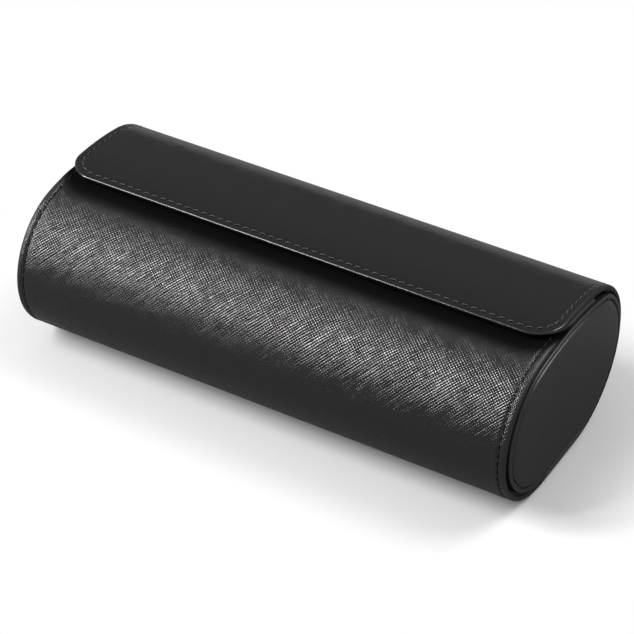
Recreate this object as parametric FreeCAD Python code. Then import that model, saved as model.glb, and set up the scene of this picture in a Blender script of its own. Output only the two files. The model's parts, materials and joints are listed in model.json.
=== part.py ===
import FreeCAD
import Part
import math
import os

# A watch travel case for three watches, rolled from leather over board.
# The wall is an oval tube of four arcs: the base is its back and underside, a front leaf
# folds down from a hinge line low on the front, and a flap folds back from a hinge line
# at the middle of the back and lies over the leaf's top when the case is shut.
# Millimetres. X runs along the case, -Y is the front, +Z is up.
# The origin is on the resting face, under the middle of the case.

# Case body
case_length = 206.5
case_width = 93.5
body_height = 63.0
crown_drop = 1.5
rest_strip_inset = 2.75

# Wall layers, from the outside in
skin_thickness = 0.8
board_thickness = 1.0
lining_thickness = 0.4
edge_turn = 1.6

# Front leaf: the angle of its hinge below the front, and where its top edge lies
leaf_hinge_angle = 45.0
leaf_top_reach = 21.5
front_seam_step = 1.0

# Flap
flap_front_reach = 13.3
flap_corner_radius = 12.0

# Closure: thin magnets in the flap over steel plates in the leaf
magnet_diameter = 12.0
plate_diameter = 14.0
magnet_end_distance = 44.5
magnet_edge_distance = 9.0
pocket_clearance = 0.15
glue_line = 0.05

# End panels, standing a little proud of the wall's ends
panel_board_thickness = 3.0
panel_proud = 0.8
panel_rear_gap = 0.4
panel_front_gap = 1.2
panel_lift = 0.8
panel_shoulder_radius = 12.0
panel_heel_angle = 42.0
panel_heel_inset = 2.0
crease_inset = 1.9
crease_width = 0.6
crease_depth = 0.4
pad_thickness = 0.5

# Dividers between the bays
divider_board_thickness = 2.0
divider_suede_thickness = 0.5
divider_gap = 1.2

# Watch cushions
watch_room = 16.6
cushion_wall_gap = 10.55
cushion_crown_drop = 4.0
cushion_side_gap = 1.3
cushion_cover_thickness = 0.8
cushion_length_shares = (0.0, 0.035, 0.15, 0.5, 0.85, 0.965, 1.0)
cushion_size_shares = (0.86, 0.94, 0.985, 1.0, 0.985, 0.94, 0.86)

# Clearances and the overrun of every cut
lid_clearance = 0.35
hinge_gap = 0.3
seat_clearance = 0.3
overrun = 5.0

# Worked out from the sizes above
wall_thickness = skin_thickness + board_thickness + lining_thickness
flap_rise = wall_thickness + lid_clearance
half_length = case_length / 2
half_width = case_width / 2
half_height = body_height / 2
tip_radius = half_height - crown_drop
tip_place = half_width - tip_radius
rest_reach = tip_place - rest_strip_inset
front_seam_reach = rest_reach + front_seam_step
crown_radius = (tip_place**2 + half_height**2 - tip_radius**2) / (2 * crown_drop)
crown_place = half_height - crown_radius
crown_angle = math.degrees(math.atan2(-crown_place, tip_place))
belly_radius = (rest_strip_inset**2 + half_height**2 - tip_radius**2) / (2 * crown_drop)
belly_place = belly_radius - half_height
belly_angle = math.degrees(math.atan2(belly_place, rest_strip_inset))
flap_hinge_place = flap_rise / 2
leaf_hinge_turn = 180 + leaf_hinge_angle
side_reach = half_width + overrun
top_reach = half_height + flap_rise + overrun
panel_outer = half_length + panel_proud
panel_inner = panel_outer - skin_thickness - panel_board_thickness - lining_thickness
divider_thickness = divider_board_thickness + 2 * divider_suede_thickness
bay_length = (2 * panel_inner - 2 * divider_thickness) / 3
bay_pitch = bay_length + divider_thickness
cushion_length = bay_length - 2 * cushion_side_gap
cushion_width = case_width - 2 * wall_thickness - 2 * cushion_wall_gap
cushion_height = body_height - 2 * wall_thickness - watch_room
cushion_tip_radius = cushion_height / 2 - cushion_crown_drop

# The three bays and the two ends, as steps from the middle
bays = {"left": -1, "middle": 0, "right": 1}
sides = {"left": -1, "right": 1}


def place(x, y, z):
    """A point whose y and z are measured from the middle of the oval."""
    return FreeCAD.Vector(x, y, z + half_height)


def along(angle):
    """The unit step in y and z at an angle from +Y towards +Z."""
    turn = math.radians(angle)
    return math.cos(turn), math.sin(turn)


def line(x, start, end):
    return Part.makeLine(place(x, *start), place(x, *end))


def arc(x, centre, radius, start, end):
    """An arc about a centre in y and z, from one angle to another."""
    points = []
    for angle in (start, (start + end) / 2, end):
        y_step, z_step = along(angle)
        points.append(place(x, centre[0] + radius * y_step, centre[1] + radius * z_step))
    return Part.Arc(*points).toShape()


def prism(edges, x_start, x_end):
    """The solid between two places along the case with the edges, drawn at the first, as outline."""
    wire = Part.Wire(Part.__sortEdges__(edges))
    return Part.Face(wire).extrude(FreeCAD.Vector(x_end - x_start, 0, 0))


def polygon_prism(points, x_start, x_end):
    corners = [place(x_start, *point) for point in points]
    wire = Part.makePolygon(corners + corners[:1])
    return Part.Face(wire).extrude(FreeCAD.Vector(x_end - x_start, 0, 0))


def oval_edges(x, depth, rise):
    """The oval at a depth below the outside, its upper half raised on short upright flanks."""
    radius = tip_radius - depth
    wide = half_width - depth
    low = -half_height + depth
    edges = [
        arc(x, (tip_place, rise), radius, 0, crown_angle),
        arc(x, (0, rise + crown_place), crown_radius - depth, crown_angle, 180 - crown_angle),
        arc(x, (-tip_place, rise), radius, 180 - crown_angle, 180),
        arc(x, (-tip_place, 0), radius, 180, 180 + belly_angle),
        arc(x, (-rest_reach, belly_place), belly_radius - depth, 180 + belly_angle, 270),
        line(x, (-rest_reach, low), (rest_reach, low)),
        arc(x, (rest_reach, belly_place), belly_radius - depth, 270, 360 - belly_angle),
        arc(x, (tip_place, 0), radius, 360 - belly_angle, 360),
    ]
    if rise > 0:
        edges.append(line(x, (wide, 0), (wide, rise)))
        edges.append(line(x, (-wide, 0), (-wide, rise)))
    return edges


def wall(outer_depth, inner_depth, rise, reach):
    """One layer of the rolled wall, all the way round, reaching so far each side of the middle."""
    outer = prism(oval_edges(-reach, outer_depth, rise), -reach, reach)
    longer = reach + overrun
    return outer.cut(prism(oval_edges(-longer, inner_depth, rise), -longer, longer))


def leaf_hinge_cut(offset):
    """The cut through the wall at the leaf's hinge, moved along the wall towards the base."""
    y_out, z_out = along(leaf_hinge_turn)
    y_along, z_along = along(leaf_hinge_turn + 90)
    start = (-tip_place + offset * y_along, offset * z_along)
    length = tip_radius + overrun
    return start, (start[0] + length * y_out, start[1] + length * z_out)


def base_region(margin):
    """Everything below both hinge lines, kept a margin clear of them."""
    flap_cut = flap_hinge_place - margin
    inner, outer = leaf_hinge_cut(margin)
    points = [
        (side_reach, flap_cut),
        (0, flap_cut),
        inner,
        outer,
        (outer[0], -top_reach),
        (side_reach, -top_reach),
    ]
    return polygon_prism(points, -half_length, half_length)


def leaf_region(margin):
    """The front and the top, from the leaf's hinge to its top edge under the flap."""
    inner, outer = leaf_hinge_cut(-margin)
    edge = leaf_top_reach - (margin - hinge_gap / 2)
    points = [
        inner,
        outer,
        (-side_reach, outer[1]),
        (-side_reach, top_reach),
        (edge, top_reach),
        (edge, 0),
    ]
    return polygon_prism(points, -half_length, half_length)


def flap_region(inset):
    """The flap's plan, straight at the back and with its two front corners rounded."""
    bottom = flap_hinge_place + hinge_gap / 2 + inset
    x_side = half_length - inset
    y_front = -flap_front_reach + inset
    radius = flap_corner_radius - inset
    x_corner = x_side - radius
    y_corner = y_front + radius
    bend_x = radius * math.cos(math.radians(45))
    left = [(-x_side, y_corner), (-x_corner - bend_x, y_corner - bend_x), (-x_corner, y_front)]
    right = [(x_corner, y_front), (x_corner + bend_x, y_corner - bend_x), (x_side, y_corner)]
    left = [place(x, y, bottom) for x, y in left]
    right = [place(x, y, bottom) for x, y in right]
    back_right = place(x_side, side_reach, bottom)
    back_left = place(-x_side, side_reach, bottom)
    edges = [
        Part.Arc(*left).toShape(),
        Part.makeLine(left[2], right[0]),
        Part.Arc(*right).toShape(),
        Part.makeLine(right[2], back_right),
        Part.makeLine(back_right, back_left),
        Part.makeLine(back_left, left[0]),
    ]
    face = Part.Face(Part.Wire(edges))
    return face.extrude(FreeCAD.Vector(0, 0, top_reach - bottom))


def sunk_disc(disc, rise):
    """A closure disc, curved with the board that it is let into and a glue line thinner."""
    board_depth = skin_thickness + board_thickness
    layer = wall(skin_thickness + glue_line, board_depth - glue_line, rise, half_length)
    return layer.common(disc)


def closure_discs(diameter):
    """Upright cylinders through the flap and the leaf where the magnets and plates are."""
    y = -flap_front_reach + magnet_edge_distance
    discs = {}
    for side, step in sides.items():
        foot = place(step * (half_length - magnet_end_distance), y, 0)
        discs[side] = Part.makeCylinder(diameter / 2, top_reach, foot)
    return discs


def layered(region, rise):
    """A stretch of wall as its skin, board and lining, the skin turned in round every edge."""
    board_depth = skin_thickness + board_thickness
    whole = wall(0, wall_thickness, rise, half_length).common(region(0))
    inner_region = region(edge_turn)
    reach = half_length - edge_turn
    board = wall(skin_thickness, board_depth, rise, reach).common(inner_region)
    lining = wall(board_depth, wall_thickness, rise, reach).common(inner_region)
    skin = whole.cut(board).cut(lining)
    return skin, board, lining


def make_base():
    """The back and underside, whose front stretch of skin is a strip of its own."""
    skin, board, lining = layered(lambda inset: base_region(hinge_gap / 2 + inset), flap_rise)
    front_side = Part.makeBox(case_length, side_reach, body_height)
    front_side.translate(FreeCAD.Vector(-half_length, -side_reach - front_seam_reach, 0))
    return {
        "base_skin": skin.cut(front_side),
        "front_hinge_strip": skin.common(front_side),
        "base_board": board,
        "base_lining": lining,
    }


def make_leaf():
    """The front leaf, with a steel plate let into its board under each magnet."""
    skin, board, lining = layered(lambda inset: leaf_region(hinge_gap / 2 + inset), 0)
    nodes = {"leaf_skin": skin, "leaf_lining": lining}
    pockets = closure_discs(plate_diameter + 2 * pocket_clearance)
    for side, disc in closure_discs(plate_diameter).items():
        nodes["leaf_plate_" + side] = sunk_disc(disc, 0)
    for pocket in pockets.values():
        board = board.cut(pocket)
    nodes["leaf_board"] = board
    return nodes


def make_flap():
    """The flap, with a thin magnet let into its board near each front corner."""
    skin, board, lining = layered(flap_region, flap_rise)
    nodes = {"flap_skin": skin, "flap_lining": lining}
    pockets = closure_discs(magnet_diameter + 2 * pocket_clearance)
    for side, disc in closure_discs(magnet_diameter).items():
        nodes["flap_magnet_" + side] = sunk_disc(disc, flap_rise)
    for pocket in pockets.values():
        board = board.cut(pocket)
    nodes["flap_board"] = board
    return nodes


def panel_limit_edges(x, inset):
    """The line under the leaf that a panel stays inside, with its top carried on to the back."""
    depth = wall_thickness + panel_front_gap + inset
    radius = tip_radius - depth
    seam = -front_seam_reach + inset
    seam_angle = 180 + math.degrees(math.acos((-rest_reach - seam) / (belly_radius - depth)))
    seam_height = belly_place + (belly_radius - depth) * along(seam_angle)[1]
    back_angle = math.degrees(math.acos(side_reach / (crown_radius - depth)))
    back_height = crown_place + (crown_radius - depth) * along(back_angle)[1]
    return [
        line(x, (seam, -top_reach), (seam, seam_height)),
        arc(x, (-rest_reach, belly_place), belly_radius - depth, seam_angle, 180 + belly_angle),
        arc(x, (-tip_place, 0), radius, 180 + belly_angle, 180),
        arc(x, (-tip_place, 0), radius, 180, 180 - crown_angle),
        arc(x, (0, crown_place), crown_radius - depth, 180 - crown_angle, back_angle),
        line(x, (side_reach, back_height), (side_reach, -top_reach)),
        line(x, (side_reach, -top_reach), (seam, -top_reach)),
    ]


def panel_heel_edges(x, inset):
    """The corner low at the back that a panel leaves open, outside one arc from flank to foot."""
    depth = wall_thickness + panel_rear_gap + inset
    foot = -half_height + depth - panel_rear_gap
    flank = half_width - depth
    y_step, z_step = along(-panel_heel_angle)
    radius = belly_radius - depth - panel_heel_inset
    bend = (rest_reach + radius * y_step, belly_place - panel_rear_gap + radius * z_step)
    heel = Part.Arc(place(x, flank, 0), place(x, *bend), place(x, rest_reach, foot))
    return [
        heel.toShape(),
        line(x, (rest_reach, foot), (rest_reach, -top_reach)),
        line(x, (rest_reach, -top_reach), (side_reach, -top_reach)),
        line(x, (side_reach, -top_reach), (side_reach, 0)),
        line(x, (side_reach, 0), (flank, 0)),
    ]


def panel(x_start, x_end, inset, drop):
    """An end panel or divider: inside the base and flap at the back, clear of the leaf in front."""
    body = prism(oval_edges(x_start, wall_thickness + panel_rear_gap + inset, flap_rise), x_start, x_end)
    body.translate(FreeCAD.Vector(0, 0, -panel_rear_gap))
    limit = prism(panel_limit_edges(x_start, inset), x_start, x_end)
    limit.translate(FreeCAD.Vector(0, 0, panel_lift))
    body = body.common(limit).cut(prism(panel_heel_edges(x_start, inset), x_start, x_end))
    corner = [edge for edge in body.Edges if is_shoulder(edge)]
    body = body.makeFillet(panel_shoulder_radius, corner)
    body.translate(FreeCAD.Vector(0, 0, -drop))
    return body


def is_shoulder(edge):
    """Whether an edge is the soft corner high at the back of a panel, where its two outlines meet."""
    middle = edge.CenterOfMass
    box = edge.BoundBox
    lengthwise = box.XLength > box.YLength + box.ZLength
    above_flank = middle.z > half_height + flap_rise + crown_drop
    return lengthwise and above_flank and middle.y > tip_place


def make_end(side):
    """An end panel: board, a thin pad on it, leather drawn down between rim and pad, and suede inside."""
    step = sides[side]
    rim = skin_thickness
    lining_end = panel_inner + lining_thickness
    board_end = panel_outer - skin_thickness
    field_inset = crease_inset + crease_width
    cover = panel(panel_inner, panel_outer, 0, 0)
    cover = cover.cut(panel(panel_inner - overrun, board_end, rim, 0))
    cover = cover.cut(panel(panel_outer - crease_depth, panel_outer + overrun, crease_inset, 0))
    cover = cover.fuse(panel(board_end, panel_outer + pad_thickness, field_inset, 0))
    pad = panel(board_end, board_end + pad_thickness, field_inset + rim, 0)
    nodes = {
        side + "_end_cover": cover.cut(pad).removeSplitter(),
        side + "_end_pad": pad,
        side + "_end_board": panel(lining_end, board_end, rim, 0),
        side + "_end_lining": panel(panel_inner, lining_end, rim, 0),
    }
    if step < 0:
        mirror = FreeCAD.Vector(1, 0, 0)
        nodes = {name: shape.mirror(FreeCAD.Vector(0, 0, 0), mirror) for name, shape in nodes.items()}
    return nodes


def make_divider(side):
    """A board between two bays in a suede sleeve, standing on the lining."""
    middle = sides[side] * bay_pitch / 2
    outer_start = middle - divider_thickness / 2
    outer_end = middle + divider_thickness / 2
    core_start = outer_start + divider_suede_thickness
    core_end = outer_end - divider_suede_thickness
    inset = divider_gap + divider_suede_thickness
    core = panel(core_start, core_end, inset, divider_gap)
    suede = panel(outer_start, outer_end, divider_gap, divider_gap).cut(core)
    return {"divider_" + side + "_board": core, "divider_" + side + "_suede": suede}


def cushion_wire(x, share, shrink):
    """The cushion's own oval at one place along it."""
    wide = share * cushion_width / 2 - shrink
    high = share * cushion_height / 2 - shrink
    radius = share * cushion_tip_radius - shrink
    across = wide - radius
    crown = (across**2 + high**2 - radius**2) / (2 * (high - radius))
    angle = math.degrees(math.atan2(crown - high, across))
    level = -half_height + wall_thickness + seat_clearance + cushion_height / 2
    edges = [
        arc(x, (across, level), radius, -angle, 0),
        arc(x, (across, level), radius, 0, angle),
        arc(x, (0, level + high - crown), crown, angle, 90),
        arc(x, (0, level + high - crown), crown, 90, 180 - angle),
        arc(x, (-across, level), radius, 180 - angle, 180),
        arc(x, (-across, level), radius, 180, 180 + angle),
        arc(x, (0, level + crown - high), crown, 180 + angle, 270),
        arc(x, (0, level + crown - high), crown, 270, 360 - angle),
    ]
    return Part.Wire(edges)


def cushion_form(middle, shrink):
    """A pillow, fullest at its middle and drawn in at both ends."""
    length = cushion_length - 2 * shrink
    start = middle - length / 2
    wires = []
    for length_share, size_share in zip(cushion_length_shares, cushion_size_shares):
        wires.append(cushion_wire(start + length_share * length, size_share, shrink))
    return Part.makeLoft(wires, True, False)


def make_cushion(bay):
    """A foam core in a suede cover."""
    middle = bays[bay] * bay_pitch
    core = cushion_form(middle, cushion_cover_thickness)
    cover = cushion_form(middle, 0).cut(core)
    return {"cushion_" + bay + "_core": core, "cushion_" + bay + "_cover": cover}


def make_case():
    """Every piece of the case by its name."""
    nodes = {}
    nodes.update(make_base())
    for side in sides:
        nodes.update(make_end(side))
        nodes.update(make_divider(side))
    nodes.update(make_leaf())
    nodes.update(make_flap())
    for bay in bays:
        nodes.update(make_cushion(bay))
    return nodes


def main():
    os.makedirs("parts", exist_ok=True)
    for name, shape in make_case().items():
        shape.exportStep("parts/" + name + ".step")
        box = shape.BoundBox
        corners = (box.XMin, box.XMax, box.YMin, box.YMax, box.ZMin, box.ZMax)
        solids = len(shape.Solids)
        print(name, "solids", solids, "valid", shape.isValid(), "volume", round(shape.Volume, 1),
              "box", [round(value, 2) for value in corners])


main()
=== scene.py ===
import bmesh
import bpy
import json
import math
import numpy as np
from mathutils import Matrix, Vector


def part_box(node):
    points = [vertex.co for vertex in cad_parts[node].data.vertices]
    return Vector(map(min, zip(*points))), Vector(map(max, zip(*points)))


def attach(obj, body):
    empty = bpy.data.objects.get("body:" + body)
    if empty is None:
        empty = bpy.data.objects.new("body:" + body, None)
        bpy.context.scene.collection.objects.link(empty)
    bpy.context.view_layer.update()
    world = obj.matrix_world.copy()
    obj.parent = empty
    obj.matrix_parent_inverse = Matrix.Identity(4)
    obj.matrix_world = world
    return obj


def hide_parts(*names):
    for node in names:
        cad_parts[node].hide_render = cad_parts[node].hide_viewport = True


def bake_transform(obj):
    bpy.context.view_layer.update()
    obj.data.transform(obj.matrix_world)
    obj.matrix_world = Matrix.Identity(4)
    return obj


# A rolled travel case for three watches, in black cross-grained leather over board, lined with
# suede. Metres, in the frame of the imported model: X along the case, -Y the front, +Z up.

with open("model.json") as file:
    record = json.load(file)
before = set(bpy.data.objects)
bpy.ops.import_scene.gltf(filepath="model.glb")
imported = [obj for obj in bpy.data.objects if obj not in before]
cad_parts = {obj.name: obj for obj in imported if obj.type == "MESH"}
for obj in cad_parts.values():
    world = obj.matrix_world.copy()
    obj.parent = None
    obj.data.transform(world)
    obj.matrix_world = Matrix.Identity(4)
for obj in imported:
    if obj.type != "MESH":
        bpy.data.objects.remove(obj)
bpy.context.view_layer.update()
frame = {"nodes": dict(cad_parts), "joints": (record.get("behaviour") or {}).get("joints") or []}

MM = 0.001

# Sizes read from the frame
half_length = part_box("leaf_skin")[1].x
half_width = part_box("base_skin")[1].y
half_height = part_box("leaf_skin")[1].z / 2
flap_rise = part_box("flap_skin")[1].z - 2 * half_height
flap_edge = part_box("flap_skin")[0].y
leaf_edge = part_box("leaf_skin")[1].y
seam_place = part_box("base_skin")[0].y
field_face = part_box("right_end_cover")[1].x
panel_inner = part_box("right_end_cover")[0].x
joints = {joint["name"]: joint for joint in frame["joints"]}
flap_hinge = Vector(joints["flap_hinge"]["pos_m"])
leaf_hinge = Vector(joints["leaf_hinge"]["pos_m"])

# The wall, as built
crown_drop = 1.5 * MM
rest_strip_inset = 2.75 * MM
skin_thickness = 0.8 * MM
wall_thickness = 2.2 * MM
edge_turn = 1.6 * MM
flap_corner_radius = 12.0 * MM
panel_rear_gap = 0.4 * MM
panel_front_gap = 0.8 * MM
panel_lift = 0.8 * MM
panel_front_end_angle = 68
panel_heel_angle = 42
panel_heel_inset = 2.0 * MM

# How finely lines are followed, and the angle from which an edge is sharp
line_steps = 2500
nearest_steps = 20001
sharp_angle = 38

# The plans of the two leathers: their square corners, the points of a corner, the insets of their
# rings of points, and the closer rows over a bend, as shares of its reach
seam_corner_radius = 0.5 * MM
leaf_corner_radius = 0.8 * MM
sheet_spacing = 1.6 * MM
small_corner_steps = 5
flap_corner_steps = 25
bend_rows = 19
bend_span = 1.5
bend_clear = 1.7
merge_distance = 0.0001 * MM
edge_insets = np.array([0, 0.05, 0.13, 0.25, 0.4, 0.55, 0.9, 1.6, 1.61, 2.1, 2.4, 2.65, 2.85,
                        3.0, 3.15, 3.35, 3.6, 3.9, 4.6]) * MM
back_insets = np.concatenate((edge_insets, np.array([6.5, 9.0, 12.0]) * MM))
front_insets = np.concatenate((edge_insets, np.array([6.0]) * MM))

# Leather edges, and the band where the flap's edge rests: sunk, and painted as shadow, black and
# without shine
edge_radius = 1.05 * MM
seam_edge_radius = 0.4 * MM
flap_lip_radius = 0.6 * MM
flap_lip = 1.2 * MM
sunk_depth = 0.65 * MM
sunk_reach = 9.0 * MM
painted_shade_reach = 12.0 * MM

# Seams and thread: the slant is a share of a stitch's length, its bow and how far it is drawn in
# are shares of its radius
stitch_inset = 3.0 * MM
stitch_pitch = 3.6 * MM
stitch_length = 2.5 * MM
stitch_radius = 0.21 * MM
stitch_slant = 0.09
stitch_bow = 1.15
stitch_draw = 0.75
stitch_taper = 0.97
stitch_rings = 9
stitch_sides = 8
seam_corner_steps = 20
flap_stitch_lift = -0.06 * MM
end_stitch_lift = -0.34 * MM
seam_depth = 0.2 * MM
end_seam_depth = 0.5 * MM
seam_half_width = 0.5 * MM
seam_fade = 6 * MM
flap_seam_start = 5 * MM
end_seam_start = 4 * MM
end_seam_stop = 3 * MM

# The bends at the two hinges: how far each reaches along the leather
bend_reach = 1.7 * MM

# The face of an end panel: its border, its crease and its padded field, then the rings of points
border_crest = 0.9 * MM
border_height = 0.6 * MM
rim_drop = 0.65 * MM
crease_inset = 2.05 * MM
crease_depth = 0.6 * MM
crease_half_width = 0.4 * MM
field_height = 1.0 * MM
field_shoulder = 1.9 * MM
field_rings = np.array([1.5, 4.0, 8.0]) * MM
crease_crowding = 0.15
corner_stretch = 1.25
profile_rise = np.linspace(0, 1, 9)
field_shares = np.linspace(0.9, 0.02, 9)
back_shares = (1.0, 0.5, 0.02)
rim_steps = 4
panel_steps = 720
soft_corner = 14

# The cushions before they are filled: the power of their oval, and their slack in it. The drawn-in
# ends are pairs of a place along the cushion and a size, as shares
cushion_power = 2.5
cushion_slack = 0.99
cushion_fall = 0.03
cushion_end_fall = 0.11
cushion_end_power = 16
cushion_end_turn = 0.12
cushion_sides = 180
cushion_rings = 61
cushion_end_places = np.array([0.982, 0.983, 0.988, 1.0])
cushion_end_sizes = np.array([0.02, 0.45, 0.72, 0.84])

# Filling them: the cloth's settings, how far the cover may move, the pull that takes it most of
# the way, and the puckers at its ends
cushion_voxel = 2.2 * MM
cushion_frames = 20
cushion_pressure = 4.0
cushion_shrink = -0.04
cushion_quality = 6
cushion_stiffness = 0.3
cushion_sewn_share = 0.965
cushion_play = 0.35 * MM
cushion_ease = 1.2 * MM
cushion_axis = 4 * MM
pucker_depth = 0.3 * MM
pucker_count = 24
pucker_reach = 0.13

# The grain: the spacing of its grooves, how far its two directions are turned, how its noise is
# stretched across and along a groove, and how far from an edge, in millimetres, the grain starts,
# the wax ends and the burnishing ends
hatch_period = 0.95 * MM
hatch_turn = 3.5
hatch_wander = 2.6
hatch_power = 0.8
course_scales = (700.0, 110.0)
depth_scales = (420.0, 150.0)
depth_seed = 7.0
groove_steps = (0.3, 0.62, 0.65, 1.0)
grain_fade = (0.3, 1.3)
wax_fade = (0.5, 0.95)
burnish_fade = (0.5, 2.2)
# The painted shadow under the flap's edge: the ramp over which it covers the leather, and its dark
# tone as a share of the leather's
painted_shade_fade = (0.0, 0.75)
painted_shade_tone = 1.6
edge_roughness = 0.25
panel_roughness = 0.2
pore_depth = 0.006 * MM
nap_depth = 0.12 * MM
twist_pitch = 0.5 * MM
twist_depth = 0.05 * MM

# The floor: its colours for other rays and for the camera, and where it turns white, as distances
# from the case; and the light of the surround, as heights above the horizon and strengths
floor_reach = 4
floor_own = (0.22, 0.22, 0.222)
floor_seen = (0.93, 0.93, 0.935)
seen_white = (0.008, 0.06)
shown_white = (0.1, 1.2)
surround_heights = (0.1, 0.45)
surround_levels = (0.1, 0.37)
white_colour = (1.0, 1.0, 1.0, 1.0)

# Ovals worked out as the wall's arcs are
tip_radius = half_height - crown_drop
tip_place = half_width - tip_radius
rest_reach = tip_place - rest_strip_inset
crown_radius = (tip_place**2 + half_height**2 - tip_radius**2) / (2 * crown_drop)
crown_place = half_height - crown_radius
crown_angle = math.degrees(math.atan2(-crown_place, tip_place))
belly_radius = (rest_strip_inset**2 + half_height**2 - tip_radius**2) / (2 * crown_drop)
belly_place = belly_radius - half_height
belly_angle = math.degrees(math.atan2(belly_place, rest_strip_inset))
seam_angle = 180 + math.degrees(math.acos((-rest_reach - seam_place) / belly_radius))
flap_edge_angle = math.degrees(math.acos(flap_edge / crown_radius))
leaf_edge_angle = math.degrees(math.acos(leaf_edge / crown_radius))

# The arcs' centres, in y and z; the flap's lie higher
front_belly, back_belly = (-rest_reach, belly_place), (rest_reach, belly_place)
front_tip, back_tip = (-tip_place, 0), (tip_place, 0)
front_flap_tip, back_flap_tip = (-tip_place, flap_rise), (tip_place, flap_rise)
crown, flap_crown = (0, crown_place), (0, crown_place + flap_rise)

# Photograph: where the camera stood, fitted to the outline, for a frame 634 pixels wide
camera_shift = 0.6 * MM
camera_azimuth = 30.66
camera_elevation = 37.68
camera_distance = 0.9789
camera_target_height = half_height - 5.06 * MM
focal_pixels = 2619.6
frame_pixels = 634
sensor_width = 36.0


class Section:
    """A path round the case, measured by its length along the outside. On each run a centre moves
    straight from one place to another while the outward direction turns from one angle to
    another; a point is the centre plus the radius, less its depth, along that direction."""

    def __init__(self, runs):
        self.first = np.array([run[0] for run in runs])
        self.last = np.array([run[1] for run in runs])
        self.radius = np.array([run[2] for run in runs])
        self.start_angle = np.radians([run[3] for run in runs])
        self.end_angle = np.radians([run[4] for run in runs])
        turned = np.abs(self.end_angle - self.start_angle) * self.radius
        moved = np.linalg.norm(self.last - self.first, axis=1)
        self.lengths = turned + moved
        self.starts = np.concatenate(([0.0], np.cumsum(self.lengths)[:-1]))
        self.length = self.lengths.sum()

    def _share(self, distance):
        run = np.searchsorted(self.starts, distance, side="right") - 1
        run = np.clip(run, 0, len(self.starts) - 1)
        return run, (distance - self.starts[run]) / self.lengths[run]

    def normal(self, distance):
        """The outward direction in y and z."""
        run, share = self._share(distance)
        angle = self.start_angle[run] + share * (self.end_angle - self.start_angle)[run]
        return np.stack((np.cos(angle), np.sin(angle)), axis=-1)

    def point(self, distance, x, depth):
        """The place in space at a length along the path, an x and a depth below the outside."""
        run, share = self._share(distance)
        centre = self.first[run] + share[..., None] * (self.last - self.first)[run]
        reach = self.radius[run] - depth
        yz = centre + reach[..., None] * self.normal(distance)
        return np.stack((x, yz[..., 0], yz[..., 1] + half_height), axis=-1)

    def nearest(self, y, z):
        """The length along the path at which it passes closest to a place."""
        distance = np.linspace(0, self.length, nearest_steps)
        points = self.point(distance, np.zeros_like(distance), np.zeros_like(distance))
        return distance[np.argmin(np.hypot(points[:, 1] - y, points[:, 2] - z))]


back_section = Section([
    (front_belly, front_belly, belly_radius, seam_angle, 270),
    (front_belly, back_belly, belly_radius, 270, 270),
    (back_belly, back_belly, belly_radius, 270, 360 - belly_angle),
    (back_tip, back_tip, tip_radius, 360 - belly_angle, 360),
    (back_tip, back_flap_tip, tip_radius, 360, 360),
    (back_flap_tip, back_flap_tip, tip_radius, 360, 360 + crown_angle),
    (flap_crown, flap_crown, crown_radius, 360 + crown_angle, 360 + flap_edge_angle),
])

front_section = Section([
    (front_belly, front_belly, belly_radius, seam_angle, 180 + belly_angle),
    (front_tip, front_tip, tip_radius, 180 + belly_angle, 180 - crown_angle),
    (crown, crown, crown_radius, 180 - crown_angle, leaf_edge_angle),
])


def add_piece(name, vertices, faces, material, uv=None, values=None):
    """A mesh object from arrays, with its faces turned outwards, smooth between creases. The values
    are arrays with one number for each vertex, kept under their names for the material."""
    mesh = bpy.data.meshes.new(name)
    mesh.from_pydata(np.asarray(vertices).tolist(), [], faces)
    if uv is not None:
        corners = np.empty(len(mesh.loops), np.int32)
        mesh.loops.foreach_get("vertex_index", corners)
        layer = mesh.uv_layers.new(name="surface")
        layer.data.foreach_set("uv", np.asarray(uv, np.float32)[corners].ravel())
    for label, numbers in (values or {}).items():
        layer = mesh.attributes.new(label, "FLOAT", "POINT")
        layer.data.foreach_set("value", np.asarray(numbers, np.float32))
    form = bmesh.new()
    form.from_mesh(mesh)
    bmesh.ops.recalc_face_normals(form, faces=form.faces)
    form.to_mesh(mesh)
    form.free()
    mesh.shade_smooth()
    mesh.set_sharp_from_angle(angle=math.radians(sharp_angle))
    mesh.materials.append(material)
    piece = bpy.data.objects.new(name, mesh)
    bpy.context.scene.collection.objects.link(piece)
    return piece


def grid_faces(rows, columns, closed=False, offset=0):
    """The quads of a grid of rows by columns, joined round its columns if closed."""
    wide = columns if closed else columns - 1
    row, column = np.meshgrid(np.arange(rows - 1), np.arange(wide), indexing="ij")
    after = (column + 1) % columns
    corners = (row * columns + column, row * columns + after,
               (row + 1) * columns + after, (row + 1) * columns + column)
    return np.stack(corners, axis=-1).reshape(-1, 4) + offset


def tube_faces(rows, columns):
    """The faces of rings of points one after another, with the first and the last ring closed."""
    caps = [list(range(columns)), list(range((rows - 1) * columns, rows * columns))]
    return grid_faces(rows, columns, closed=True).tolist() + caps


def corner_curve(radius, inset, reach, count):
    """One corner of a rounded rectangle at an inset, from the reach along one side to the reach
    along the other, as distances from the two edges: straight, a quarter circle, straight."""
    middle = max(radius, inset)
    bend = max(radius - inset, 0.0)
    straight = np.linspace(reach, middle, 4)[:-1]
    turn = np.linspace(0, math.pi / 2, count)
    ahead = np.concatenate((straight, middle - bend * np.sin(turn), np.full(3, inset)))
    aside = np.concatenate((np.full(3, inset), middle - bend * np.cos(turn), straight[::-1]))
    return ahead, aside


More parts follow.
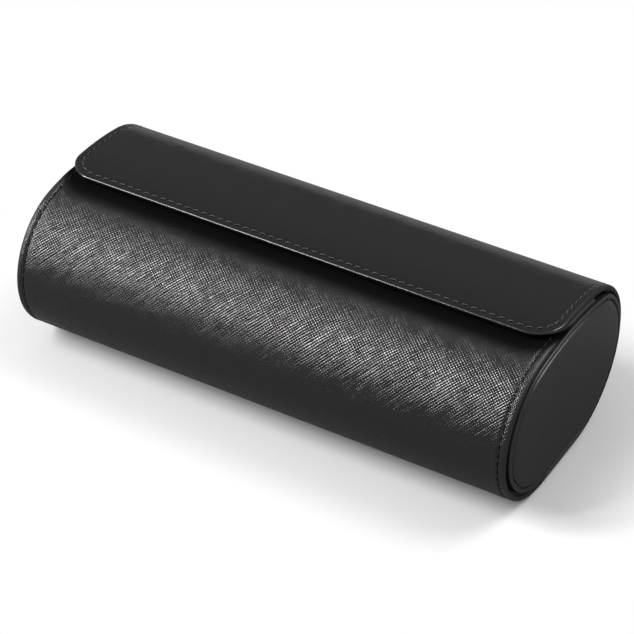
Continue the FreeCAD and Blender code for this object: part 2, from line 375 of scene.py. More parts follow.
class Sheet:
    """The plan of a sheet of leather, as a length along its section and an x: contours of a
    rounded rectangle at growing insets round a plain grid, with shared corners merged."""

    def __init__(self, length, half, near_radius, far_radius, insets, fine_at, spacing):
        reach = insets[-1]
        coarse = np.linspace(reach, length - reach, int((length - 2 * reach) / spacing))
        fine = fine_at + np.linspace(-bend_span, bend_span, bend_rows) * bend_reach
        apart = np.abs(coarse - fine_at) > bend_clear * bend_reach
        along = np.unique(np.concatenate((coarse[apart], fine)))
        across = np.linspace(-half + reach, half - reach, int(2 * half / spacing))
        ring = np.array([self._contour(length, half, near_radius, far_radius, inset, along, across,
                                       reach) for inset in insets])
        inner = np.stack(np.meshgrid(along, across, indexing="ij"), axis=-1)
        plan = np.concatenate((ring.reshape(-1, 2), inner.reshape(-1, 2)))
        inset = np.concatenate((np.repeat(insets, ring.shape[1]),
                                np.full(inner[..., 0].size, reach)))
        faces = np.concatenate((
            grid_faces(len(insets), ring.shape[1], closed=True),
            grid_faces(len(along), len(across), offset=ring[..., 0].size),
        ))
        keys = np.round(plan / merge_distance).astype(np.int64)
        first, merged = np.unique(keys, axis=0, return_index=True, return_inverse=True)[1:]
        merged = merged.ravel()
        self.distance, self.x = plan[first].T
        self.inset = inset[first]
        self.faces = [list(dict.fromkeys(face)) for face in merged[faces].tolist()]
        self.faces = [face for face in self.faces if len(face) > 2]
        border = merged[:ring.shape[1]]
        self.border = border[border != np.roll(border, 1)]
        self.half = half
        self.length = length

    @staticmethod
    def _contour(length, half, near_radius, far_radius, inset, along, across, reach):
        near = corner_curve(near_radius, inset, reach, small_corner_steps)
        far = corner_curve(far_radius, inset, reach, flap_corner_steps)
        rows = [
            (near[0], -half + near[1]),
            (np.full(len(across), inset), across),
            (near[0][::-1], half - near[1][::-1]),
            (along, np.full(len(along), half - inset)),
            (length - far[0], half - far[1]),
            (np.full(len(across), length - inset), across[::-1]),
            (length - far[0][::-1], -half + far[1][::-1]),
            (along[::-1], np.full(len(along), -half + inset)),
        ]
        return np.concatenate([np.stack(row, axis=-1) for row in rows])


def rounded(inset, radius):
    """How far a rounded edge lies below the face, at a distance in from the edge."""
    near = np.clip(radius - inset, 0, radius)
    return radius - np.sqrt(radius**2 - near**2)


def seam_dip(distance_to_seam, depth):
    """The soft groove that a tight row of stitches pulls into leather."""
    return depth * np.exp(-(distance_to_seam / seam_half_width)**2)


def leather_sheet(name, section, sheet, dip, material, lip=0.0, painted_shade=0.0):
    """A skin with a rounded edge, full thickness where it is turned in and thin over the board:
    the outside and the inside of the sheet are its plan at two depths, joined round the border.
    Where lip is one, the edge is pared from beneath to a thin lip, along a square root, and waxed;
    where the painted shade is one, the leather is given no shine and a black tone, a painted shadow
    under the flap's edge."""
    sewn = (sheet.distance < sheet.half - np.abs(sheet.x)) & (sheet.distance < edge_turn)
    radius = np.where(sewn, seam_edge_radius, edge_radius) * (1 - lip) + flap_lip_radius * lip
    fall = rounded(sheet.inset, radius)
    outside = fall + dip
    taper = 1 - np.sqrt(np.clip(sheet.inset / edge_turn, 0, 1))
    pared = lip * (wall_thickness - flap_lip) * taper
    inside = np.where(sheet.inset < edge_turn, wall_thickness - fall * (1 - lip) - pared,
                      skin_thickness)
    outer = section.point(sheet.distance, sheet.x, outside)
    inner = section.point(sheet.distance, sheet.x, inside)
    count = len(sheet.distance)
    after = np.roll(sheet.border, -1)
    strip = np.stack((sheet.border, after, after + count, sheet.border + count), axis=-1)
    under = [[corner + count for corner in reversed(face)] for face in sheet.faces]
    uv = np.stack((sheet.distance, sheet.x), axis=-1)
    even = np.zeros(count)
    values = {"edge": np.tile(sheet.inset / MM, 2), "painted_shade": np.tile(even + painted_shade, 2),
              "waxed": np.tile(even + lip, 2)}
    return add_piece(name, np.concatenate((outer, inner)), sheet.faces + under + strip.tolist(),
                     material, np.concatenate((uv, uv)), values)


def stitches(name, section, path, material, lift):
    """A row of thread, one slim bow per stitch: along each stitch the middle line rises and falls
    as one less the square of its share, and the thickness as a sixth power."""
    steps = np.hypot(*np.diff(path, axis=0).T)
    run = np.concatenate(([0.0], np.cumsum(steps)))
    count = int(run[-1] / stitch_pitch)
    middles = (np.arange(count) + 0.5) * run[-1] / count
    ends = [np.stack([np.interp(middles + shift, run, path[:, k]) for k in (0, 1)], axis=-1)
            for shift in (-stitch_length / 2, stitch_length / 2)]
    zero = np.zeros(count)
    start, end = [section.point(place[:, 0], place[:, 1], zero) for place in ends]
    normal_yz = section.normal((ends[0][:, 0] + ends[1][:, 0]) / 2)
    normal = np.concatenate((zero[:, None], normal_yz), axis=1)
    across = np.cross(normal, end - start)
    across /= np.linalg.norm(across, axis=1)[:, None]
    slant = stitch_slant * stitch_length
    start, end = start - slant * across, end + slant * across
    share = np.linspace(-1, 1, stitch_rings)
    turn = np.linspace(0, 2 * math.pi, stitch_sides + 1)[:-1]
    line = (start + end)[:, None] / 2 + share[None, :, None] * (end - start)[:, None] / 2
    height = lift + stitch_bow * stitch_radius * (1 - share**2) - stitch_draw * stitch_radius
    line = line + height[None, :, None] * normal[:, None]
    size = stitch_radius * np.sqrt(1 - stitch_taper * share**6)
    round_step = (np.cos(turn)[:, None] * across[:, None, None]
                  + np.sin(turn)[:, None] * normal[:, None, None])
    points = line[:, :, None] + size[None, :, None, None] * round_step
    one = tube_faces(len(share), len(turn))
    each = len(share) * len(turn)
    faces = [[corner + index * each for corner in face] for index in range(count) for face in one]
    return add_piece(name, points.reshape(-1, 3), faces, material)


def flap_seam_path(length, start):
    """The stitch line of the flap: up one side, round both corners and down the other side."""
    side = half_length - stitch_inset
    bend = flap_corner_radius - stitch_inset
    turn = np.linspace(0, math.pi / 2, seam_corner_steps)
    centre = (length - flap_corner_radius, half_length - flap_corner_radius)
    corner = np.stack((centre[0] + bend * np.sin(turn), centre[1] + bend * np.cos(turn)), axis=-1)
    far = corner[::-1] * (1, -1)
    return np.concatenate(([[start, side]], corner, far, [[start, -side]]))


def build_back_leather(material, thread):
    """The skin that runs from the seam under the case up the back and over as the flap."""
    hinge = back_section.nearest(flap_hinge.y, flap_hinge.z)
    sheet = Sheet(back_section.length, half_length, seam_corner_radius, flap_corner_radius,
                  back_insets, hinge, sheet_spacing)
    sewn = np.clip((sheet.distance - hinge) / seam_fade, 0, 1)
    past_corner = sheet.distance - sheet.length + flap_corner_radius
    lip = np.clip(past_corner / (flap_corner_radius / 2), 0, 1)
    skin = leather_sheet("back_leather", back_section, sheet,
                         seam_dip(sheet.inset - stitch_inset, seam_depth) * sewn, material, lip)
    path = flap_seam_path(back_section.length, hinge + flap_seam_start)
    row = stitches("flap_stitches", back_section, path, thread, flap_stitch_lift)
    for piece in (skin, row):
        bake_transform(piece)
    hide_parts("base_skin", "flap_skin")
    return [skin, row]


def build_front_leather(material, thread):
    """The skin that runs from the seam under the case round the front and up under the flap. On
    both sides of the line where the flap's edge rests, it sinks along a smooth step, and there its
    leather is painted black and without shine, as the shadow under the flap."""
    hinge = front_section.nearest(leaf_hinge.y, leaf_hinge.z)
    sheet = Sheet(front_section.length, half_length, seam_corner_radius, leaf_corner_radius,
                  front_insets, hinge, sheet_spacing)
    to_side = half_length - np.abs(sheet.x)
    under_flap = front_section.nearest(flap_edge, 2 * half_height)
    in_corner = np.clip(flap_corner_radius - to_side, 0, flap_corner_radius)
    corner_rise = rounded(flap_corner_radius - in_corner, flap_corner_radius)
    before_flap = under_flap - sheet.distance + corner_rise
    from_flap = np.where(before_flap < 0, -2 * before_flap, before_flap)
    share = np.clip(1 - from_flap / sunk_reach, 0, 1)
    dip = np.maximum(seam_dip(to_side - stitch_inset, end_seam_depth),
                     sunk_depth * share**2 * (3 - 2 * share))
    # Painted shadow: a black band without shine about the line where the flap's edge rests.
    skin = leather_sheet("front_leather", front_section, sheet, dip, material,
                         painted_shade=np.clip(1 - from_flap / painted_shade_reach, 0, 1))
    side = half_length - stitch_inset
    first, last = end_seam_start, front_section.length - end_seam_stop
    rows = [stitches(name + "_end_stitches", front_section, np.array([[first, x], [last, x]]),
                     thread, end_stitch_lift) for name, x in (("left", -side), ("right", side))]
    for piece in [skin] + rows:
        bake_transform(piece)
    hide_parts("leaf_skin", "front_hinge_strip")
    return [skin] + rows


class Signal:
    """A shader socket that takes part in plain arithmetic; each operation adds its Math node."""

    def __init__(self, graph, socket):
        self.graph = graph
        self.socket = socket

    def _math(self, operation, first, second):
        return self.graph.add("ShaderNodeMath", {"operation": operation}, {0: first, 1: second})

    def __add__(self, other):
        return self._math("ADD", self, other)

    def __sub__(self, other):
        return self._math("SUBTRACT", self, other)

    def __rsub__(self, other):
        return self._math("SUBTRACT", other, self)

    def __mul__(self, other):
        return self._math("MULTIPLY", self, other)

    def __pow__(self, other):
        return self._math("POWER", self, other)

    def __abs__(self):
        return self._math("ABSOLUTE", self, 0.0)

    def sine(self):
        return self._math("SINE", self, 0.0)

    def larger(self, other):
        return self._math("MAXIMUM", self, other)


class Graph:
    """The node tree of one new material, or a tree that is there already, built from calls."""

    def __init__(self, name=None, tree=None):
        if name is not None:
            self.material = bpy.data.materials.new(name)
            self.material.use_nodes = True
            tree = self.material.node_tree
            self.shader = tree.nodes["Principled BSDF"]
        self.tree = tree

    def add(self, kind, settings=None, inputs=None, output=0):
        """A node of a type: its settings first, then the values or links of its sockets."""
        node = self.tree.nodes.new(kind)
        for name, value in (settings or {}).items():
            setattr(node, name, value)
        for key, value in (inputs or {}).items():
            self.connect(node.inputs[key], value)
        return Signal(self, node.outputs[output] if len(node.outputs) else None)

    def connect(self, socket, value):
        """Sets a socket to a value, or links a signal to it."""
        if isinstance(value, Signal):
            self.tree.links.new(value.socket, socket)
        else:
            socket.default_value = value

    def constants(self, **values):
        """Values that are the same all over, set on the shader's own sockets."""
        for name, value in values.items():
            self.shader.inputs[name.replace("_", " ")].default_value = value

    def feed(self, name, value):
        self.connect(self.shader.inputs[name], value)

    def cover(self, share, other):
        """Lays another shader over the material's own, by a share."""
        own = Signal(self, self.shader.outputs[0])
        mix = self.add("ShaderNodeMixShader", None, {0: share, 1: own, 2: other})
        self.connect(self.tree.nodes["Material Output"].inputs["Surface"], mix)

    def split(self, vector):
        parts = self.add("ShaderNodeSeparateXYZ", None, {0: vector})
        node = parts.socket.node
        return [Signal(self, node.outputs[index]) for index in range(3)]

    def join(self, x, y, z):
        return self.add("ShaderNodeCombineXYZ", None, {0: x, 1: y, 2: z})

    def attribute(self, name):
        return self.add("ShaderNodeAttribute", {"attribute_name": name}, None, "Fac")

    def uv(self):
        return self.add("ShaderNodeUVMap", {"uv_map": "surface"})

    def place(self):
        return self.add("ShaderNodeTexCoord", None, None, "Object")

    def noise(self, vector, scale, detail=2.0, roughness=0.5):
        inputs = {"Vector": vector, "Scale": scale, "Detail": detail, "Roughness": roughness}
        return self.add("ShaderNodeTexNoise", None, inputs)

    def rays(self, *kinds):
        """One for a ray of any of these kinds, nought for the rest."""
        outputs = self.add("ShaderNodeLightPath").socket.node.outputs
        found = Signal(self, outputs[kinds[0]])
        for kind in kinds[1:]:
            found = found.larger(Signal(self, outputs[kind]))
        return found

    def between(self, value, low, high, out_low=0.0, out_high=1.0):
        """A smooth step from one output to the other, as the value passes from low to high."""
        inputs = {"Value": value, "From Min": low, "From Max": high,
                  "To Min": out_low, "To Max": out_high}
        return self.add("ShaderNodeMapRange", {"interpolation_type": "SMOOTHSTEP"}, inputs)

    def blend(self, share, first, second):
        """A colour between two, by a share."""
        inputs = {"Factor": share, 6: (*first, 1.0), 7: (*second, 1.0)}
        return self.add("ShaderNodeMix", {"data_type": "RGBA"}, inputs, 2)

    def bump(self, height, distance, strength=1.0, under=None):
        inputs = {"Height": height, "Distance": distance, "Strength": strength}
        if under is not None:
            inputs["Normal"] = under
        return self.add("ShaderNodeBump", None, inputs)


def shaded(tone, share):
    """A colour made lighter or darker by a share."""
    return tuple(share * part for part in tone)


def cross_grain(graph, first, second):
    """Pressed cross-grain: two sets of fine grooves along the diagonals, each the foot of a
    rectified sine. Along its lines each set keeps its course and its depth for a while, and
    from line to line the spacing and the depth change, by a noise stretched along them."""
    sets = []
    for angle in (hatch_turn + 45, hatch_turn - 45):
        step, rise = math.cos(math.radians(angle)), math.sin(math.radians(angle))
        across = second * step + first * rise
        along = second * rise - first * step
        wide, long = course_scales
        course = graph.noise(graph.join(across * wide, along * long, angle), 1.0, 2.0)
        wide, long = depth_scales
        place = graph.join(across * wide, along * long, angle + depth_seed)
        depth = graph.noise(place, 1.0, 1.0)
        line = abs((across * (math.pi / hatch_period) + course * hatch_wander).sine())
        sets.append(line**hatch_power * graph.between(depth, *groove_steps))
    return (sets[0] + sets[1]) * 0.5


def leather_material(name, tone, grain_depth, gloss, planar=False):
    """Black leather pressed with cross-grain; the worn tops are a shade glossier. Towards the edges
    of a sheet the grain dies out and the leather is dulled, or waxed where it is pared, and where
    the painted shade lies a dark diffuse shader covers the rest, a painted shadow under the flap's
    edge. A planar one, for the ends, has no edges."""
    graph = Graph(name)
    vector = graph.place() if planar else graph.uv()
    parts = graph.split(vector)
    first, second = (parts[1], parts[2]) if planar else (parts[0], parts[1])
    height = cross_grain(graph, first, second)
    if not planar:
        edge, painted_shade, waxed = [graph.attribute(label) for label in ("edge", "painted_shade", "waxed")]
        height = height * graph.between(edge, *grain_fade)
        graph.feed("Coat Weight", graph.between(edge, *wax_fade, 1.0, 0.0) * waxed)
        graph.constants(Coat_Roughness=0.12)
    cloud = graph.noise(vector, scale=60.0, detail=3.0)
    worn = graph.between(height * 0.6 + cloud * 0.4, 0.3, 0.8)
    cool = (tone, tone, 1.03 * tone)
    graph.feed("Base Color", graph.blend(worn, shaded(cool, 0.85), shaded(cool, 1.15)))
    if planar:
        duller = panel_roughness
    else:
        duller = graph.between(edge, *burnish_fade, edge_roughness, 0.0) * (1.0 - waxed)
    rough = graph.between(height, 0.1, 0.9, 0.2, 0.12) + cloud * 0.05
    graph.feed("Roughness", rough + duller)
    pores = graph.noise(vector, scale=2600.0, detail=2.0)
    fine = graph.bump(pores, pore_depth, strength=0.5)
    graph.feed("Normal", graph.bump(height, grain_depth, 1.0, fine))
    graph.constants(Specular_IOR_Level=gloss)
    if not planar:
        # Painted shadow: a dark diffuse shader laid over the leather where the painted shade lies.
        painted_shade_shader = graph.add("ShaderNodeBsdfDiffuse", None, {"Color": (*(painted_shade_tone * tone,) * 3, 1.0)})
        graph.cover(graph.between(painted_shade, *painted_shade_fade), painted_shade_shader)
    return graph.material


def suede_material(name, tone):
    """Napped suede: soft clouds of brushed nap over fine fibres, with a pale sheen."""
    graph = Graph(name)
    place = graph.place()
    nap = graph.noise(place, scale=55.0, detail=4.0, roughness=0.6)
    fibre = graph.noise(place, scale=1500.0, detail=3.0, roughness=0.7)
    share = graph.between(nap * 0.65 + fibre * 0.35, 0.3, 0.7)
    graph.feed("Base Color", graph.blend(share, shaded(tone, 0.72), shaded(tone, 1.2)))
    graph.feed("Normal", graph.bump(fibre, nap_depth, strength=0.7))
    graph.constants(Roughness=0.95, Sheen_Weight=0.35, Sheen_Roughness=0.45,
                    Specular_IOR_Level=0.15)
    return graph.material


def thread_material(name, tone):
    """Waxed thread with the slant of its twist."""
    graph = Graph(name)
    x, y, z = graph.split(graph.place())
    twist = abs(((x + y + z) * (math.pi / twist_pitch)).sine())
    graph.feed("Base Color", graph.blend(twist, shaded(tone, 0.6), tone))
    graph.feed("Normal", graph.bump(twist, twist_depth, strength=0.8))
    graph.constants(Roughness=0.5, Specular_IOR_Level=0.5)
    return graph.material


def plain_material(name, tone, roughness, metallic=0.0, mottle=0.15, scale=300.0):
    """A hidden part's plain finish with a fine mottle."""
    graph = Graph(name)
    share = graph.between(graph.noise(graph.place(), scale, detail=3.0), 0.3, 0.7)
    graph.feed("Base Color", graph.blend(share, shaded(tone, 1 - mottle), shaded(tone, 1 + mottle)))
    highest = min(1.0, roughness * 1.1)
    graph.feed("Roughness", graph.between(share, 0.0, 1.0, roughness * 0.9, highest))
    graph.constants(Metallic=metallic)
    return graph.material


def circle_through(first, middle, last):
    """The centre and radius of the circle through three places in a plane."""
    points = np.array([first, middle, last])
    system = np.column_stack((2 * points, np.ones(3)))
    across, up, rest = np.linalg.solve(system, (points**2).sum(axis=1))
    return (across, up), math.sqrt(rest + across**2 + up**2)


def panel_lines():
    """The lines that bound an end panel, each with its depth below the outside and its lift: the
    oval inside base and flap, the line inside the leaf, and the arc that eases the heel."""
    oval = Section([
        (back_tip, back_flap_tip, tip_radius, 0, 0),
        (back_flap_tip, back_flap_tip, tip_radius, 0, crown_angle),
        (flap_crown, flap_crown, crown_radius, crown_angle, 180 - crown_angle),
        (front_flap_tip, front_flap_tip, tip_radius, 180 - crown_angle, 180),
        (front_flap_tip, front_tip, tip_radius, 180, 180),
        (front_tip, front_tip, tip_radius, 180, 180 + belly_angle),
        (front_belly, front_belly, belly_radius, 180 + belly_angle, 270),
        (front_belly, back_belly, belly_radius, 270, 270),
        (back_belly, back_belly, belly_radius, 270, 360 - belly_angle),
        (back_tip, back_tip, tip_radius, 360 - belly_angle, 360),
    ])
    front = Section([
        (crown, crown, crown_radius, panel_front_end_angle, 180 - crown_angle),
        (front_tip, front_tip, tip_radius, 180 - crown_angle, 180 + belly_angle),
        (front_belly, front_belly, belly_radius, 180 + belly_angle, seam_angle),
    ])
    depth = wall_thickness + panel_rear_gap
    turn = -math.radians(panel_heel_angle)
    reach = belly_radius - depth - panel_heel_inset
    flank = (half_width - depth, 0)
    bend = (rest_reach + reach * math.cos(turn),
            belly_place - panel_rear_gap + reach * math.sin(turn))
    foot = (rest_reach, -half_height + wall_thickness)
    centre, radius = circle_through(flank, bend, foot)
    start, end = [math.degrees(math.atan2(z - centre[1], y - centre[0])) for y, z in (foot, flank)]
    heel = Section([(centre, centre, radius, start, end)])
    return ((oval, depth, -panel_rear_gap),
            (front, wall_thickness + panel_front_gap, panel_lift),
            (heel, 0, 0))


def panel_radii(turn):
    """How far an end panel reaches from its middle in each direction: the least of its bounding
    lines, averaged over a few degrees to soften the corners where they meet."""
    reach = []
    for section, depth, lift in panel_lines():
        distance = np.linspace(0, section.length, line_steps)
        points = section.point(distance, np.zeros(line_steps), np.full(line_steps, depth))
        y, z = points[:, 1], points[:, 2] - half_height + lift
        angle = np.unwrap(np.arctan2(z, y))
        order = np.argsort(angle)
        angle, length = angle[order], np.hypot(y, z)[order]
        start = angle[0] + np.mod(turn - angle[0], 2 * math.pi)
        reach.append(np.interp(start, angle, length, right=1.0))
    least = np.min(reach, axis=0)
    window = np.hanning(2 * soft_corner + 1)
    window /= window.sum()
    around = np.concatenate((least[-soft_corner:], least, least[:soft_corner]))
    return np.convolve(around, window, mode="valid")


def bulge(share):
    """A quarter round: nought at nought and level at one."""
    return np.sqrt(1 - (1 - np.clip(share, 0, 1))**2)


def end_profile(inset):
    """How far an end panel's face stands out at an inset from its rim: a rolled border, round on
    both sides, then a crease drawn in as a bell curve, then the shoulder of the padded field."""
    low = field_face - field_height
    outer_side = rim_drop * (bulge(inset / border_crest) - 1)
    inner_side = border_height * (bulge((crease_inset - inset) / (crease_inset - border_crest)))
    border = np.where(inset < border_crest, border_height + outer_side, inner_side)
    field = field_height * bulge((inset - crease_inset) / field_shoulder)
    crease = crease_depth * np.exp(-((inset - crease_inset) / crease_half_width)**2)
    return low + np.where(inset < crease_inset, border, field) - crease


def build_end_cover(side, sign, material):
    """An end panel's leather, in rings about its middle: the padded field, the crease, the rolled
    border and the rim, then the leather turned over behind."""
    turn = np.linspace(0, 2 * math.pi, panel_steps + 1)[:-1]
    radius = panel_radii(turn)
    around = np.concatenate((radius[-1:], radius, radius[:1]))
    slope = np.gradient(around)[1:-1] / (turn[1] - turn[0])
    stretch = np.clip(np.sqrt(1 + (slope / radius)**2), 1, corner_stretch)
    rise = profile_rise
    insets = np.unique(np.concatenate((
        border_crest * (1 - np.sqrt(1 - rise**2)),
        border_crest + (crease_inset - border_crest) * rise,
        crease_inset - (crease_inset - border_crest) * crease_crowding * rise,
        crease_inset + field_shoulder * (1 - np.sqrt(1 - rise**2)),
        (crease_inset + field_shoulder) + field_rings,
    )))
    rows = [(radius - inset * stretch, place) for inset, place in zip(insets, end_profile(insets))]
    core = rows[-1][0]
    rows += [(core * share, field_face) for share in field_shares]
    rows = rows[::-1]
    back = field_face - field_height - skin_thickness
    rows += [(radius, place) for place in np.linspace(rows[-1][1], panel_inner, rim_steps)[1:]]
    inside = radius - skin_thickness * stretch
    rows += [(inside, panel_inner), (inside, back)]
    rows += [(core * share, back) for share in back_shares]
    points = [np.stack((np.full_like(radius, place * sign), reach * np.cos(turn),
                        reach * np.sin(turn) + half_height), axis=-1) for reach, place in rows]
    piece = add_piece(side + "_end_leather", np.array(points).reshape(-1, 3),
                      tube_faces(len(rows), len(turn)), material)
    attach(piece, "base")
    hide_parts(side + "_end_cover")
    return piece


def cushion_start(half):
    """A watch cushion before it is filled: across, a rounded oval; along, fullest in the middle,
    falling off as a square and then a sixteenth power to both ends."""
    turn = np.linspace(0, 2 * math.pi, cushion_sides + 1)[:-1]
    middle = -np.cos(np.linspace(cushion_end_turn, math.pi - cushion_end_turn, cushion_rings))
    share = np.concatenate((-cushion_end_places, middle, cushion_end_places[::-1]))
    full = 1 - cushion_fall * middle**2 - cushion_end_fall * middle**cushion_end_power
    size = np.concatenate((cushion_end_sizes, full, cushion_end_sizes[::-1]))
    y, z = [np.sign(wave) * np.abs(wave)**(2 / cushion_power)
            for wave in (np.cos(turn), np.sin(turn))]
    points = np.stack((half.x * share[:, None] * np.ones_like(turn),
                       half.y * cushion_slack * size[:, None] * y,
                       half.z * cushion_slack * size[:, None] * z), axis=-1)
    mesh = bpy.data.meshes.new("cushion_start")
    mesh.from_pydata(points.reshape(-1, 3).tolist(), [], tube_faces(len(share), len(turn)))
    return mesh


def evaluated_copy(piece):
    """The mesh that an object's modifiers give."""
    seen = piece.evaluated_get(bpy.context.evaluated_depsgraph_get())
    return bpy.data.meshes.new_from_object(seen)


def places_of(mesh):
    """The places of a mesh's vertices, one in each row."""
    places = np.empty(3 * len(mesh.vertices), np.float32)
    mesh.vertices.foreach_get("co", places)
    return places.reshape(-1, 3).astype(float)


def filled_cushion(half):
    """The places and faces of a cushion about its own middle. Its cover is simulated as cloth,
    a little too large for the filling, blown out and sewn down at both ends. Each point's way in
    or out then passes through a hyperbolic tangent, so that the cover keeps to its space, and
    the suede puckers towards the seams as a sine round the cushion."""
    scene = bpy.context.scene
    start = bpy.data.objects.new("cushion_start", cushion_start(half))
    scene.collection.objects.link(start)
    even = start.modifiers.new("even", "REMESH")
    even.mode = "VOXEL"
    even.voxel_size = cushion_voxel
    cover = bpy.data.objects.new("cushion_cover", evaluated_copy(start))
    scene.collection.objects.link(cover)
    before = places_of(cover.data)
    sewn = np.flatnonzero(np.abs(before[:, 0]) > cushion_sewn_share * half.x)
    cover.vertex_groups.new(name="sewn").add(sewn.tolist(), 1.0, "REPLACE")
    cloth = cover.modifiers.new("cloth", "CLOTH")
    cloth.point_cache.frame_start, cloth.point_cache.frame_end = 1, cushion_frames
    settings = cloth.settings
    settings.vertex_group_mass = "sewn"
    settings.use_pressure = True
    settings.uniform_pressure_force = cushion_pressure
    settings.effector_weights.gravity = 0.0
    settings.shrink_min = cushion_shrink
    settings.quality = cushion_quality
    settings.bending_stiffness = cushion_stiffness
    for number in range(1, cushion_frames + 1):
        scene.frame_set(number)
    after = places_of(evaluated_copy(cover))
    faces = [list(face.vertices) for face in cover.data.polygons]
    bpy.data.objects.remove(start)
    bpy.data.objects.remove(cover)
    scene.frame_set(1)
    reach = np.hypot(before[:, 1], before[:, 2])
    grown = np.hypot(after[:, 1], after[:, 2]) - reach
    change = cushion_play * np.tanh(grown / cushion_ease)
    turn = np.arctan2(before[:, 2], before[:, 1])
    near_end = np.exp(-(1 - np.abs(before[:, 0]) / half.x) / pucker_reach)
    change = change - pucker_depth * near_end * (0.5 + 0.5 * np.sin(pucker_count * turn))
    before[:, 1:] *= (1 + change / np.maximum(reach, cushion_axis))[:, None]
    return before, faces


def build_cushion(bay, form, material):
    """One of the watch cushions, which all have the same form."""
    low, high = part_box("cushion_" + bay + "_cover")
    points, faces = form
    piece = add_piece("cushion_" + bay, points + np.array((low + high) / 2), faces, material)
    smooth = piece.modifiers.new("smooth", "SUBSURF")
    smooth.levels = smooth.render_levels = 1
    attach(piece, "cushion_" + bay)
    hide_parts("cushion_" + bay + "_cover")
    return piece


def dress_nodes(finishes):
    """Gives each carried-over node the finish of its kind."""
    for name, node in frame["nodes"].items():
        for ending, material in finishes.items():
            if name.endswith(ending) or ending in name:
                node.data.materials.clear()
                node.data.materials.append(material)
                break


def build_floor():
    """A pale floor that keeps the case's shadow and turns pure white further out."""
    signs = ((-1, -1), (1, -1), (1, 1), (-1, 1))
    corners = [(floor_reach * x, floor_reach * y, 0) for x, y in signs]
    floor = add_piece("floor", corners, [[0, 1, 2, 3]], pale_material())


def pale_material():
    """Matt and grey to the light that it throws back, pale to the camera. Away from the case it
    turns plain white, soon for rays from the camera and further out for reflections."""
    graph = Graph("pale_floor")
    graph.constants(Roughness=0.9, Specular_IOR_Level=0.0)
    camera = graph.rays("Is Camera Ray")
    graph.feed("Base Color", graph.blend(camera, floor_own, floor_seen))
    across, deep = graph.split(graph.place())[:2]
    beside = (abs(across) - half_length).larger(0.0)
    before = (abs(deep) - half_width).larger(0.0)
    away = (beside * beside + before * before)**0.5
    seen = graph.between(away, *seen_white) * camera
    shown = graph.between(away, *shown_white) * graph.rays("Is Glossy Ray", "Is Transmission Ray")
    white = graph.add("ShaderNodeEmission", None, {"Color": white_colour})
    graph.cover(seen.larger(shown), white)
    return graph.material


def build_light():
    """A broad soft lamp behind at the right, a tall one and a slim strip at the front left, and a
    dim surround that darkens towards the horizon."""
    lamps = (
        ("rear_lamp", (0.8, 0.7, 1.45), (0.9, 0.9), 12.5),
        ("front_lamp", (-1.10, -0.76, 1.06), (0.35, 1.3), 25.0),
        ("strip_lamp", (-0.66, -1.05, 1.14), (0.12, 0.6), 4.5),
    )
    for name, place, size, power in lamps:
        lamp = bpy.data.lights.new(name, "AREA")
        lamp.shape = "RECTANGLE"
        lamp.size, lamp.size_y = size
        lamp.energy = power
        holder = bpy.data.objects.new(name, lamp)
        holder.location = place
        aim = Vector((0, 0, half_height)) - Vector(place)
        holder.rotation_euler = aim.to_track_quat("-Z", "Y").to_euler()
        bpy.context.scene.collection.objects.link(holder)
    world = bpy.data.worlds.new("surround")
    bpy.context.scene.world = world
    world.use_nodes = True
    graph = Graph(tree=world.node_tree)
    graph.tree.nodes.clear()
    height = graph.split(graph.add("ShaderNodeTexCoord", None, None, "Generated"))[2]
    level = graph.between(height, *surround_heights, *surround_levels)
    soft = graph.add("ShaderNodeBackground", None, {"Color": white_colour, "Strength": level})
    white = graph.add("ShaderNodeBackground", None, {"Color": white_colour})
    seen = graph.rays("Is Camera Ray", "Is Transmission Ray")
    mix = graph.add("ShaderNodeMixShader", None, {0: seen, 1: soft, 2: white})
    graph.add("ShaderNodeOutputWorld", None, {0: mix})


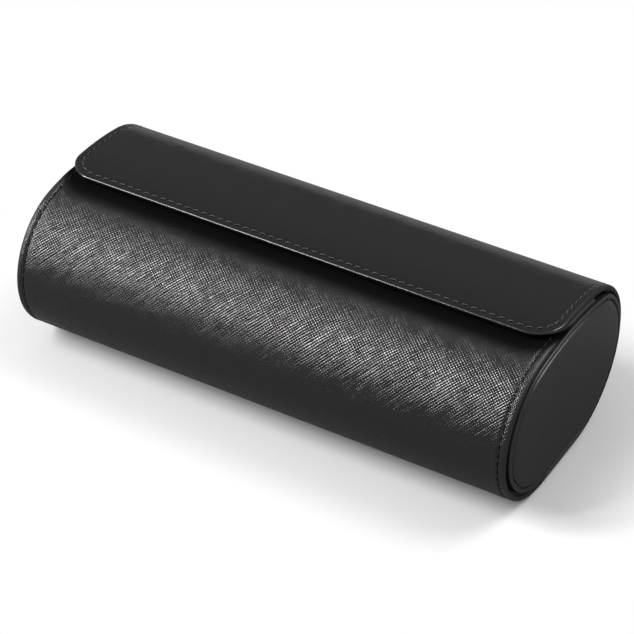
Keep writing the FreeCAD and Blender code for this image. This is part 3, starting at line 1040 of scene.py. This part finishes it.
def build_camera():
    """The camera, as it was fitted to the photograph."""
    turn, rise = math.radians(camera_azimuth), math.radians(camera_elevation)
    back = Vector((math.sin(turn) * math.cos(rise), -math.cos(turn) * math.cos(rise),
                   math.sin(rise)))
    data = bpy.data.cameras.new("camera")
    data.sensor_width = sensor_width
    data.lens = focal_pixels / frame_pixels * sensor_width
    camera = bpy.data.objects.new("camera", data)
    camera.location = Vector((camera_shift, 0, camera_target_height)) + back * camera_distance
    camera.rotation_euler = (-back).to_track_quat("-Z", "Y").to_euler()
    bpy.context.scene.collection.objects.link(camera)
    bpy.context.scene.camera = camera


def main():
    """Makes the stage, then each piece with its finish."""
    bpy.context.scene.view_settings.view_transform = "Standard"
    build_camera()
    build_light()
    build_floor()
    leather = leather_material("black_cross_grain", tone=0.003, grain_depth=0.2 * MM, gloss=0.9)
    flap_leather = leather_material("smoothed_cross_grain", tone=0.004, grain_depth=0.08 * MM,
                                    gloss=0.5)
    panel_leather = leather_material("panel_cross_grain", tone=0.013, grain_depth=0.02 * MM,
                                     gloss=0.9, planar=True)
    # One black thread in two painted copies: the grey one lightened as a painted highlight for the
    # flap's stitches, the black one darkened as painted shade for the sunk end seams.
    thread = thread_material("thread_painted_lit", (0.085, 0.085, 0.087))
    shaded_thread_copy = thread_material("thread_painted_shade", (0.005, 0.005, 0.005))
    lining = suede_material("grey_lining", (0.16, 0.155, 0.15))
    pad = suede_material("cushion_suede", (0.19, 0.185, 0.18))
    back = build_back_leather(flap_leather, thread)
    for piece in back + build_front_leather(leather, shaded_thread_copy):
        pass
    for side, sign in (("left", -1), ("right", 1)):
        build_end_cover(side, sign, panel_leather)
    low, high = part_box("cushion_middle_cover")
    form = filled_cushion((high - low) / 2)
    for bay in ("left", "middle", "right"):
        build_cushion(bay, form, pad)
    dress_nodes({
        "_lining": lining,
        "_suede": lining,
        "_board": plain_material("grey_board", (0.35, 0.33, 0.30), roughness=0.9),
        "_core": plain_material("pale_foam", (0.6, 0.6, 0.58), roughness=0.95, scale=900.0),
        "magnet": plain_material("plated_magnet", (0.6, 0.6, 0.6), roughness=0.25, metallic=1.0,
                                 mottle=0.05),
        "plate": plain_material("sheet_steel", (0.5, 0.5, 0.51), roughness=0.4, metallic=1.0,
                                mottle=0.08),
    })


main()
